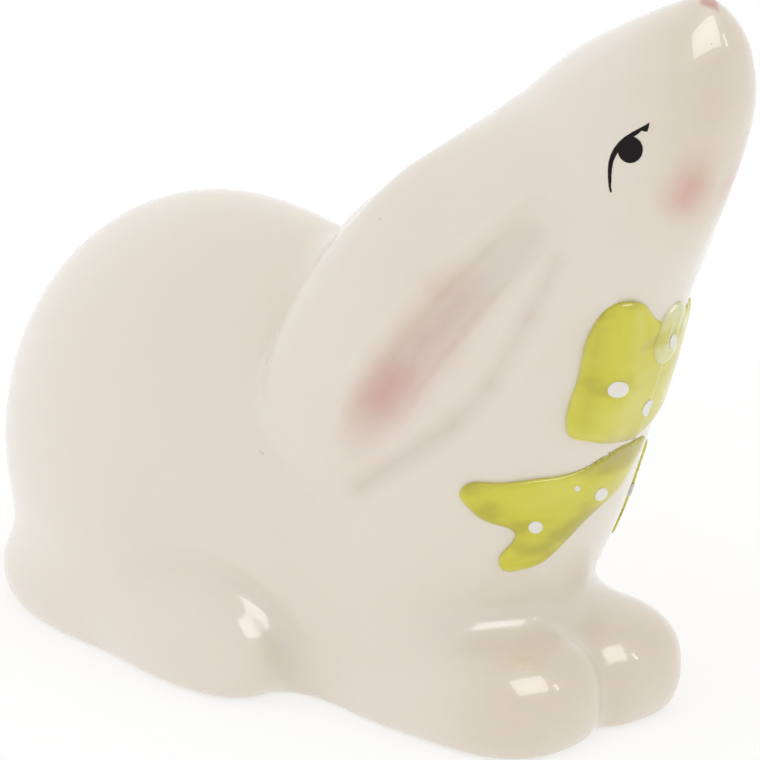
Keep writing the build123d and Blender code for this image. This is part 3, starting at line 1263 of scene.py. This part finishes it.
    def distance(self, points: Array) -> Array:
        """Give the distance of each point from the surface.

        Args:
            points: Points in mm, one in each row.

        Returns:
            The distances, below zero inside.
        """
        place = points.copy()
        place[:, 1] = -np.abs(place[:, 1])
        whole = blend(self.fore.distance(place), self.haunch.distance(place), self.flank_blend)
        whole = blend(whole, self.seat.distance(place), self.seat_blend)
        whole = blend(whole, self.foot.distance(place), self.foot_blend)
        paws = blend(self.paw.distance(place), self.other_paw.distance(place), self.paws_blend)
        whole = blend(whole, paws, self.paw_blend)
        whole = blend(whole, self.tail.distance(place), self.tail_blend)
        along = (place - np.array(self.ear_root)) @ self.lengthwise
        near_root = np.clip((along - self.root_from) / self.root_rise, 0, 1)
        near_root *= np.clip((self.root_reach - along) / self.root_fall, 0, 1)
        width = self.ear_blend + self.root_blend * near_root
        whole = blend(whole, self.ear.distance(place), width)
        near = np.abs(whole) < self.marks_depth
        if near.any():
            marked = place[near]
            relief = sum((stroke.height(marked) for stroke in self.strokes), np.zeros(len(marked)))
            outside = np.clip((-marked[:, 1] - self.marks_from) / self.marks_rise, 0, 1)
            whole[near] -= relief * outside
        whole = trim(whole, -place[:, 2], self.ground_round)
        bore = np.hypot(place[:, 0] - self.vent_x, place[:, 1]) - self.vent_radius
        vent = np.maximum(bore, place[:, 2] - self.vent_depth)
        return np.maximum(whole, -vent)

    def build(self, material: Material, clay: Material) -> None:
        """Wrap the figure in its skin and dress it.

        Args:
            material: The glaze.
            clay: The bare clay of the resting face.
        """
        pitch = self.pitch
        points, faces = wrap_mesh(self, self.low_corner, self.high_corner, pitch, True)
        skin = mesh_object("glazed_rabbit_skin", self.settle(points, pitch), faces)
        skin.data.materials.append(material)
        skin.data.materials.append(clay)
        ground = self.bare_height * MM
        vent_x, vent_reach = self.vent_x * MM, (self.vent_radius + self.bare_margin) * MM
        vent_top = (self.vent_depth + self.bare_above_vent) * MM
        for face in skin.data.polygons:
            middle = face.center
            in_vent = math.hypot(middle.x - vent_x, middle.y) < vent_reach
            if middle.z < ground or (in_vent and middle.z < vent_top):
                face.material_index = 1
        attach(skin, "root")
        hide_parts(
            "body_casting",
            "head_casting",
            "tail",
            "ear_right",
            "ear_left",
            "front_paw_right",
            "front_paw_left",
            "hind_foot_right",
            "hind_foot_left",
        )


def ring(half_across: float, half_up: float, lean: float = 0.0) -> Array:
    """Draw an oval outline round its middle.

    Args:
        half_across: Half its first size, in mm.
        half_up: Half its second size, in mm.
        lean: How far it is turned to the left, in degrees.

    Returns:
        Points round it.
    """
    corners = 48
    turns = np.linspace(0, 2 * math.pi, corners, endpoint=False)
    angle = math.radians(lean)
    across, up = half_across * np.cos(turns), half_up * np.sin(turns)
    turned_across = across * math.cos(angle) - up * math.sin(angle)
    turned_up = across * math.sin(angle) + up * math.cos(angle)
    return np.column_stack([turned_across, turned_up])


def fold(*rows: Four) -> Stroke:
    """Press a fold into a flat outline, with rows of a place, a height and a width in mm."""
    line = tuple((across, up, 0.0, height, width) for across, up, height, width in rows)
    return Stroke(line, (1.0, 1.0, 0.0))


def lay_pad(
    carrier: Form, middle: Point, outline: Array, softness: float = 0.3, **settings: object
) -> Pad:
    """Lay a pad on a form, with its outline seen as in the photograph.

    Args:
        carrier: The form that carries it.
        middle: The point in mm that the outline is measured from.
        outline: Points of the outline in mm, to the right and up in the picture.
        softness: How much its corners are rounded, in mm.
        settings: The pad's other sizes.

    Returns:
        The pad.
    """
    least_pitch = 0.04
    table = Outline(np.asarray(outline, dtype=float), softness, max(softness / 2, least_pitch))
    return Pad(carrier, table, middle, SIGHT.across(), SIGHT.up(), SIGHT.facing(), **settings)


def wrap_pad(pad: Pad, pitch: float) -> tuple[Array, Array]:
    """Wrap a pad in its skin.

    Args:
        pad: The pad.
        pitch: Size of a face, in mm.

    Returns:
        The points in mm and the faces.
    """
    room = 1.0
    low, high = pad.outline.points.min(axis=0) - room, pad.outline.points.max(axis=0) + room
    corners = [
        np.array(pad.middle) + first * pad.across + second * pad.up + depth * pad.facing
        for first in (low[0], high[0])
        for second in (low[1], high[1])
        for depth in (-pad.depth - room, pad.depth_front)
    ]
    low, high = np.min(corners, axis=0), np.max(corners, axis=0)
    points, faces = wrap_mesh(pad, tuple(low), tuple(high), pitch, False)
    return pad.settle(points, pitch), faces


@dataclass
class Bow:
    """The ribbon at the throat: a knot, two loops and two forked ends, with white dots.

    Outlines, folds and dots are measured from the knot, to the right and up in the
    picture, in mm. A dot has its place, its half sizes and its lean in degrees. A depth
    and a front are how far behind and before the knot a part may lie, a stop is how far
    beyond the middle plane it goes, and a share is how thick it is on that plane.
    """

    knot: Point = (50.7, 0.0, 60.3)
    loop_outline: tuple[Pair, ...] = (
        (-3.8, 4.9), (-2.2, 4.4), (-0.8, 2.6), (1.2, 1.3), (1.2, -1.2), (0.6, -4.4), (-0.2, -7.7),
        (-0.8, -10.5), (-2.2, -13.0), (-5.2, -14.2), (-8.1, -14.5), (-10.8, -14.1), (-12.5, -13.6),
        (-13.0, -11.6), (-12.5, -8.8), (-11.4, -5.5), (-10.5, -1.2), (-9.2, 1.8), (-7.5, 4.0),
        (-5.7, 4.8),
    )
    loop_folds: tuple[Stroke, ...] = (
        fold((-6.9, 4.6, 0.0, 0.8), (-6.4, 3.0, -0.4, 0.9), (-5.8, 0.6, -0.35, 1.1), (-4.6, -2.0, 0.0, 1.2)),
        fold((-3.4, 4.8, 0.0, 0.7), (-2.7, 3.2, -0.45, 0.8), (-2.2, 1.4, -0.35, 0.9), (-2.8, -1.2, 0.0, 1.0)),
        fold((-0.2, -0.2, -0.1, 0.9), (-1.8, -1.8, -0.25, 1.1), (-3.6, -4.4, 0.0, 1.3)),
        fold((-10.2, -3.5, 0.0, 1.2), (-11.2, -7.5, -0.3, 1.2), (-11.0, -11.5, 0.0, 1.4)),
    )
    tail_outline: tuple[Pair, ...] = (
        (-0.2, -12.6), (-2.6, -13.5), (-6.7, -15.5), (-9.4, -17.2), (-12.5, -18.6), (-17.0, -19.3),
        (-23.7, -19.8), (-26.6, -20.0), (-27.6, -21.2), (-26.6, -23.0), (-23.4, -25.3), (-19.8, -27.0),
        (-20.6, -28.4), (-22.2, -30.6), (-21.6, -31.8), (-19.2, -31.8), (-16.4, -30.9), (-13.7, -28.6),
        (-10.8, -25.6), (-8.1, -23.0), (-4.9, -19.7), (-3.2, -16.7), (-1.2, -14.2),
    )
    tail_folds: tuple[Stroke, ...] = (
        fold(
            (-3.0, -14.8, 0.0, 0.8),
            (-6.0, -16.8, -0.15, 0.9),
            (-9.5, -18.6, -0.2, 1.0),
            (-13.0, -20.4, 0.0, 1.0),
        ),
        fold((-19.0, -21.0, 0.0, 1.0), (-22.5, -21.6, -0.2, 1.1), (-25.5, -21.8, 0.0, 1.0)),
    )
    loop_dots: tuple[Five, ...] = (
        (-5.9, -7.1, 1.5, 1.1, 10.0),
        (-1.7, -9.6, 0.75, 1.25, -30.0),
    )
    tail_dots: tuple[Five, ...] = (
        (-17.1, -25.9, 1.0, 0.85, 5.0),
        (-8.1, -21.4, 1.05, 0.75, 45.0),
        (-11.4, -20.6, 0.45, 0.4, 0.0),
    )
    # A white dot on the knot, long and upright, that partly stands for a painted highlight streak
    knot_dot_and_glint: tuple[Five, ...] = ((1.6, -0.6, 0.5, 1.1, -8.0),)
    loop_thickness: float = 1.5
    loop_rounding: float = 2.4
    loop_depth: float = 16.0
    loop_front: float = 6.0
    loop_stop: float = 2.0
    loop_middle_share: float = 0.25
    left_loop_share: float = 0.3
    left_relief_share: float = 0.45
    lap: float = 0.4
    tail_thickness: float = 0.8
    tail_rounding: float = 1.2
    tail_depth: float = 34.0
    tail_stop: float = 5.0
    left_tail_stop: float = 10.0
    tail_middle_share: float = 0.35
    tail_middle_reach: float = 14.0
    knot_middle: Point = (51.0, 1.6, 60.6)
    throat_low: Point = (47.02, 0.0, 49.95)
    throat_high: Point = (53.72, 0.0, 68.82)
    knot_half_across: float = 3.2
    knot_half_up: float = 5.0
    knot_softness: float = 0.3
    knot_thickness: float = 1.2
    knot_rounding: float = 3.0
    knot_depth: float = 6.0
    knot_folds: tuple[Stroke, ...] = (
        fold((-0.9, 4.6, -0.1, 0.5), (-0.6, 1.5, -0.35, 0.6), (-0.9, -3.6, 0.0, 0.6)),
        fold((1.2, 4.4, -0.1, 0.5), (0.9, 1.2, -0.3, 0.6), (1.3, -3.2, 0.0, 0.6)),
    )
    far_stop: float = 9.0
    dot_thickness: float = 0.13
    dot_rounding: float = 0.35
    dot_sunk: float = 0.2
    dot_softness: float = 0.08
    dot_depth: float = 2.0
    pitch: float = 0.38
    quick_pitch: float = 0.7
    dot_pitch: float = 0.14
    quick_dot_pitch: float = 0.25

    def outline(self, corners: tuple[Pair, ...]) -> Array:
        """Run a smooth closed line through an outline's corners.

        Args:
            corners: The corners.

        Returns:
            Many points of the line.
        """
        samples = 160
        closed = np.array(corners + corners[:1], dtype=float)
        return smooth_line(np.column_stack([closed, np.zeros(len(closed))]), samples)[:-1, :2]

    def __post_init__(self) -> None:
        """Set nothing out until the figure is known."""
        self.parts: dict[str, Form] = {}

    def lay(self, figure: Figure) -> None:
        """Lay the ribbon's parts on the throat.

        Args:
            figure: The figure that carries them.
        """
        for side in Side:
            right = side is Side.RIGHT
            relief = 1.0 if right else self.left_relief_share
            loop = self.outline(self.loop_outline)
            loop[:, 1] *= np.where(loop[:, 1] > 0, 1.0 if right else self.left_loop_share, 1.0)
            self.parts[f"bow_loop_{side.name.lower()}"] = lay_pad(
                figure.fore,
                self.knot,
                loop,
                thickness=self.loop_thickness * relief,
                rounding=self.loop_rounding,
                strokes=self.loop_folds,
                depth=self.loop_depth,
                depth_front=self.loop_front,
                stop=self.loop_stop if right else self.lap - self.loop_stop,
                middle_share=self.loop_middle_share,
            )
            self.parts[f"bow_tail_{side.name.lower()}"] = lay_pad(
                figure.fore,
                self.knot,
                self.outline(self.tail_outline),
                thickness=self.tail_thickness * relief,
                rounding=self.tail_rounding,
                strokes=self.tail_folds,
                depth=self.tail_depth,
                stop=self.tail_stop if right else -self.left_tail_stop,
                middle_share=self.tail_middle_share,
                middle_reach=self.tail_middle_reach,
            )
        throat = (Vector(self.throat_high) - Vector(self.throat_low)).normalized()
        oval = ring(self.knot_half_across, self.knot_half_up)
        self.parts["bow_knot"] = Pad(
            figure.fore,
            Outline(oval, self.knot_softness),
            self.knot_middle,
            np.array((0.0, 1.0, 0.0)),
            np.array(throat),
            np.array((throat.z, 0.0, -throat.x)),
            self.knot_thickness,
            self.knot_rounding,
            depth=self.knot_depth,
            stop=self.far_stop,
            strokes=self.knot_folds,
        )

    def build(self, lime: Material, thin_lime_and_glare: Material, white: Material) -> None:
        """Build the knot, loops, ends and dots on both sides.

        Args:
            lime: The green glaze.
            thin_lime_and_glare: The same glaze brushed thinly and made paler as painted glare, for the knot.
            white: The white of the dots.
        """
        pitch = self.pitch
        for name, part in self.parts.items():
            points, faces = wrap_pad(part, pitch)
            side = Side.LEFT if name.endswith("left") else Side.RIGHT
            # The knot takes the paler lime, partly painted glare
            self.dress(name, points, faces, side, thin_lime_and_glare if name == "bow_knot" else lime)
        dot_pitch = self.dot_pitch
        for carrier, dots, side in (
            ("bow_loop_right", self.loop_dots, Side.RIGHT),
            ("bow_loop_left", self.loop_dots, Side.LEFT),
            ("bow_tail_right", self.tail_dots, Side.RIGHT),
            ("bow_tail_left", self.tail_dots, Side.LEFT),
            # The knot's dot is partly a painted highlight streak
            ("bow_knot", self.knot_dot_and_glint, Side.RIGHT),
        ):
            for number, (across, up, half_across, half_up, lean) in enumerate(dots):
                dot = lay_pad(
                    self.parts[carrier],
                    SIGHT.drop(self.parts[carrier], self.knot, across, up),
                    ring(half_across, half_up, lean),
                    softness=self.dot_softness,
                    thickness=self.dot_thickness,
                    rounding=self.dot_rounding,
                    sunk=self.dot_sunk,
                    depth=self.dot_depth,
                    depth_front=self.dot_depth,
                    stop=self.far_stop,
                )
                if side is Side.LEFT and dot.middle[1] > -self.left_tail_stop:
                    continue
                points, faces = wrap_pad(dot, dot_pitch)
                name = f"{carrier[:8]}_dot_{number}_{side.name.lower()}"
                piece = mesh_object(name, *mirrored(points, faces, side))
                piece.data.materials.append(white)
                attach(piece, "root")

    def dress(self, cad_node: str, points: Array, faces: Array, side: Side, glaze: Material) -> None:
        """Make one part of the ribbon stand for its node.

        Args:
            cad_node: The node.
            points: Points of the part on the right side, in mm.
            faces: Its faces.
            side: The side it goes on.
            glaze: Its glaze.
        """
        piece = mesh_object(f"{cad_node}_ribbon", *mirrored(points, faces, side))
        piece.data.materials.append(glaze)
        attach(piece, "root")
        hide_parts(cad_node)


@dataclass
class PaintedEye:
    """A painted eye: a round pupil hung from one long lash stroke.

    The outlines are measured from the middle of the pupil, to the right and up in the
    picture, in mm. The pupil's share is how much thicker it is than the lash.
    """

    pupil_pixel: Pair = (629.5, 152.2)
    pupil_half_across: float = 1.72
    pupil_half_up: float = 1.83
    lash_outline: tuple[Pair, ...] = (
        (2.66, 3.76), (1.93, 3.26), (1.01, 2.80), (0.09, 2.29), (-0.83, 1.70), (-1.56, 1.05),
        (-2.20, 0.23), (-2.66, -0.69), (-2.93, -1.60), (-3.04, -2.70), (-3.01, -3.81), (-2.92, -4.91),
        (-2.78, -5.60), (-2.46, -5.93), (-2.43, -5.60), (-2.58, -5.09), (-2.53, -4.36), (-2.48, -3.16),
        (-2.40, -2.34), (-2.20, -1.42), (-1.80, -0.62), (-1.20, 0.40), (-0.40, 1.20), (0.46, 1.74),
        (1.01, 2.06), (1.56, 2.57), (1.93, 2.43), (2.34, 2.43), (2.49, 2.98), (2.62, 3.60),
    )
    thickness: float = 0.09
    pupil_share: float = 1.5
    pupil_rounding: float = 0.5
    lash_rounding: float = 0.22
    sunk: float = 0.1
    softness: float = 0.05
    depth: float = 5.0
    pitch: float = 0.11
    quick_pitch: float = 0.2

    def build(self, figure: Figure, black: Material) -> None:
        """Paint the eye on both sides of the head.

        Args:
            figure: The figure.
            black: The enamel.
        """
        pitch = self.pitch
        middle = SIGHT.land(figure, self.pupil_pixel)
        pupil = ring(self.pupil_half_across, self.pupil_half_up)
        lash = np.array(self.lash_outline)
        for name, outline, share, rounding in (
            ("pupil", pupil, self.pupil_share, self.pupil_rounding),
            ("lash", lash, 1.0, self.lash_rounding),
        ):
            stroke = lay_pad(
                figure.fore,
                middle,
                outline,
                softness=self.softness,
                thickness=self.thickness * share,
                rounding=rounding,
                sunk=self.sunk,
                depth=self.depth,
                depth_front=self.depth,
            )
            points, faces = wrap_pad(stroke, pitch)
            for side in Side:
                piece = mesh_object(f"{name}_{side.name.lower()}", *mirrored(points, faces, side))
                piece.data.materials.append(black)
                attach(piece, "root")


@dataclass
class Studio:
    """White studio: the camera, soft lamps and the paper that the figure stands on.

    Attributes:
        away: How far off the camera stands, in mm.
        aim_aside: How far to the right of the picture's middle it aims, in mm, because
            the nearer side, which is the right one, is seen a little larger.
        sensor: Width of the camera's sensor, in mm.
        clip: The nearest and furthest that the camera sees, in metres.
        lamps: For each lamp its name, azimuth and elevation in degrees, its width and
            height in metres, and how bright its face is in the glaze.
        lamps_away: How far off the lamps hang, in metres.
        lamps_aim: The point that they are turned to, in metres.
        sky_way: The way in which the white surroundings grow brighter.
        sky_levels: Their brightness at the dim and the bright end.
        paper: Colour of the paper.
        paper_glow: Light that the paper gives back by itself, so that it stays white.
        paper_half: Half the width of the paper, in mm.
    """

    away: float = 4500.0
    aim_aside: float = 0.28
    sensor: float = 36.0
    clip: Pair = (0.1, 60.0)
    lamps: tuple[tuple[str, float, float, float, float, float], ...] = (
        ("lamp_window", 74.0, 46.0, 1.20, 0.80, 3.4),
        ("lamp_far_right", 118.0, 24.0, 0.10, 0.26, 5.0),
    )
    lamps_away: float = 1.2
    lamps_aim: Point = (0.01, 0.0, 0.05)
    sky_way: Point = (-0.42, 0.10, 0.90)
    sky_levels: Pair = (0.42, 1.08)
    paper: str = "BCBCBC"
    paper_glow: float = 0.58
    paper_half: float = 6000.0

    def camera(self) -> None:
        """Set the camera up."""
        back = Vector(SIGHT.facing())
        lens = bpy.data.cameras.new("camera")
        lens.sensor_width = self.sensor
        lens.lens = self.sensor * self.away * SIGHT.pixels_per_mm / PICTURE
        lens.clip_start, lens.clip_end = self.clip
        stand = bpy.data.objects.new("camera", lens)
        aside = Vector(SIGHT.across()) * self.aim_aside
        stand.location = (Vector(SIGHT.middle) + aside + back * self.away) * MM
        stand.rotation_euler = back.to_track_quat("Z", "Y").to_euler()
        bpy.context.scene.collection.objects.link(stand)
        bpy.context.scene.camera = stand

    def lights(self) -> None:
        """Hang the lamps, which light the glaze's reflections and not its colour."""
        aim = Vector(self.lamps_aim)
        for name, azimuth, elevation, width, height, face in self.lamps:
            way = Vector(bearing(azimuth, elevation))
            light = bpy.data.lights.new(name, "AREA")
            light.shape = "RECTANGLE"
            light.size, light.size_y = width, height
            light.energy = face * math.pi * width * height
            stand = bpy.data.objects.new(name, light)
            stand.location = aim + way * self.lamps_away
            stand.rotation_euler = way.to_track_quat("Z", "Y").to_euler()
            stand.visible_diffuse = False
            bpy.context.scene.collection.objects.link(stand)

    def surroundings(self) -> None:
        """Light the figure softly, a little more from above, before a plain white."""
        world = bpy.data.worlds.new("studio")
        bpy.context.scene.world = world
        world.use_nodes = True
        tree = world.node_tree
        tree.nodes.clear()
        path = node(tree, "ShaderNodeLightPath").outputs
        inputs = {0: path["Is Camera Ray"], 1: path["Is Glossy Ray"]}
        seen = node(tree, "ShaderNodeMath", inputs, operation="MAXIMUM").outputs[0]
        place = node(tree, "ShaderNodeTexCoord").outputs["Generated"]
        inputs = {0: place, 1: self.sky_way}
        height = node(tree, "ShaderNodeVectorMath", inputs, operation="DOT_PRODUCT")
        dim, bright = self.sky_levels
        inputs = {0: height.outputs["Value"], 1: -1.0, 2: 1.0, 3: dim, 4: bright}
        soft = node(tree, "ShaderNodeMapRange", inputs).outputs[0]
        inputs = {"Factor": seen, 2: soft, 3: 1.0}
        strength = node(tree, "ShaderNodeMix", inputs, data_type="FLOAT").outputs[0]
        sky = node(tree, "ShaderNodeBackground", {"Color": (1, 1, 1, 1), "Strength": strength})
        node(tree, "ShaderNodeOutputWorld", {"Surface": sky.outputs[0]})

    def floor(self) -> None:
        """Lay white paper, which keeps the figure's shadow."""
        paper = blank_material("white_studio_paper")
        tree = paper.node_tree
        matt = node(tree, "ShaderNodeBsdfDiffuse", {"Color": linear(self.paper), "Roughness": 1.0})
        glow = node(tree, "ShaderNodeEmission", {"Color": (1, 1, 1, 1), "Strength": self.paper_glow})
        both = node(tree, "ShaderNodeAddShader", {0: matt.outputs[0], 1: glow.outputs[0]})
        node(tree, "ShaderNodeOutputMaterial", {"Surface": both.outputs[0]})
        half = self.paper_half
        corners = np.array([(-half, -half, 0), (half, -half, 0), (half, half, 0), (-half, half, 0)])
        floor = mesh_object("studio_floor", corners, np.array([[0, 1, 2, 3]]))
        floor.data.materials.append(paper)

    def build(self) -> None:
        """Set up the camera, the lamps, the surroundings and the paper."""
        self.camera()
        self.lights()
        self.surroundings()
        self.floor()
        bpy.context.scene.view_settings.view_transform = "Standard"


def main() -> None:
    """Build the figure, its ribbon, its painted face and the studio."""
    logging.basicConfig(level=logging.INFO, format="%(name)s: %(message)s")
    Studio().build()
    LOG.info("studio set up")
    figure = Figure()
    figure.build(CreamGlaze().material(figure), BARE_CLAY.material("bare_clay"))
    LOG.info("figure done")
    bow = Bow()
    bow.lay(figure)
    lime = LimeGlaze().material("lime_underglaze", figure)
    # The knot's paler lime, partly painted glare
    thin_lime_and_glare = THIN_LIME_AND_GLARE.material("thin_lime_underglaze", figure)
    bow.build(lime, thin_lime_and_glare, DOT_WHITE.material("white_dots"))
    LOG.info("ribbon done")
    PaintedEye().build(figure, LINE_BLACK.material("black_enamel"))
    LOG.info("eyes done")


if __name__ == "__main__":
    main()
